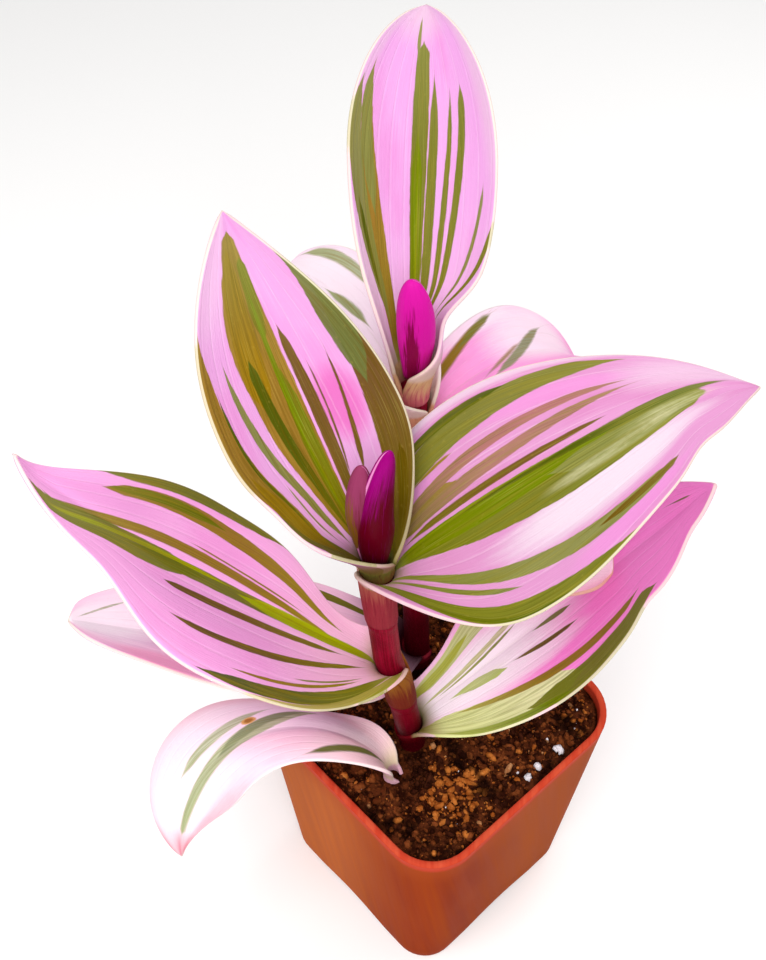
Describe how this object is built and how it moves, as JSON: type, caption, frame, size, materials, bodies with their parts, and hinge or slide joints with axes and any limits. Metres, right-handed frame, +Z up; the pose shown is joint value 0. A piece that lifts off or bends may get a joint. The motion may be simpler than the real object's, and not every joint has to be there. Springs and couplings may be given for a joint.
{
  "type": "potted tradescantia plant",
  "caption": "Small square nursery pot filled with soil and a trailing foliage plant, with thick upright stems, sheathed pointed leaves striped pink and green, and rolled young shoots.",
  "frame": {"origin": "middle of the pot's flat underside, on the surface that it stands on", "axes": "+Z up, +X and +Y along the pot's flat sides; the picture is taken from above the corner between +X and -Y"},
  "size_m": [0.0902, 0.1123, 0.166],
  "materials": {
    "pot_plastic": "satin moulded plastic",
    "soil": "damp crumbly potting mix",
    "stem": "smooth and fleshy, faintly glossy",
    "leaf": "smooth and waxy, striped",
    "bud": "smooth and waxy"
  },
  "bodies": {
    "root": {"pot": "pot_plastic", "soil": "soil", "stem_front": "stem", "stem_back": "stem", "leaf_top": "leaf", "leaf_upper_left": "leaf", "leaf_upper_right": "leaf", "leaf_middle_left": "leaf", "leaf_low_right": "leaf", "leaf_low_left": "leaf", "leaf_ground": "leaf", "leaf_back_left": "leaf", "leaf_back_right": "leaf", "leaf_small_right": "leaf", "bud_front": "bud", "bud_back": "bud"}
  },
  "joints": []
}
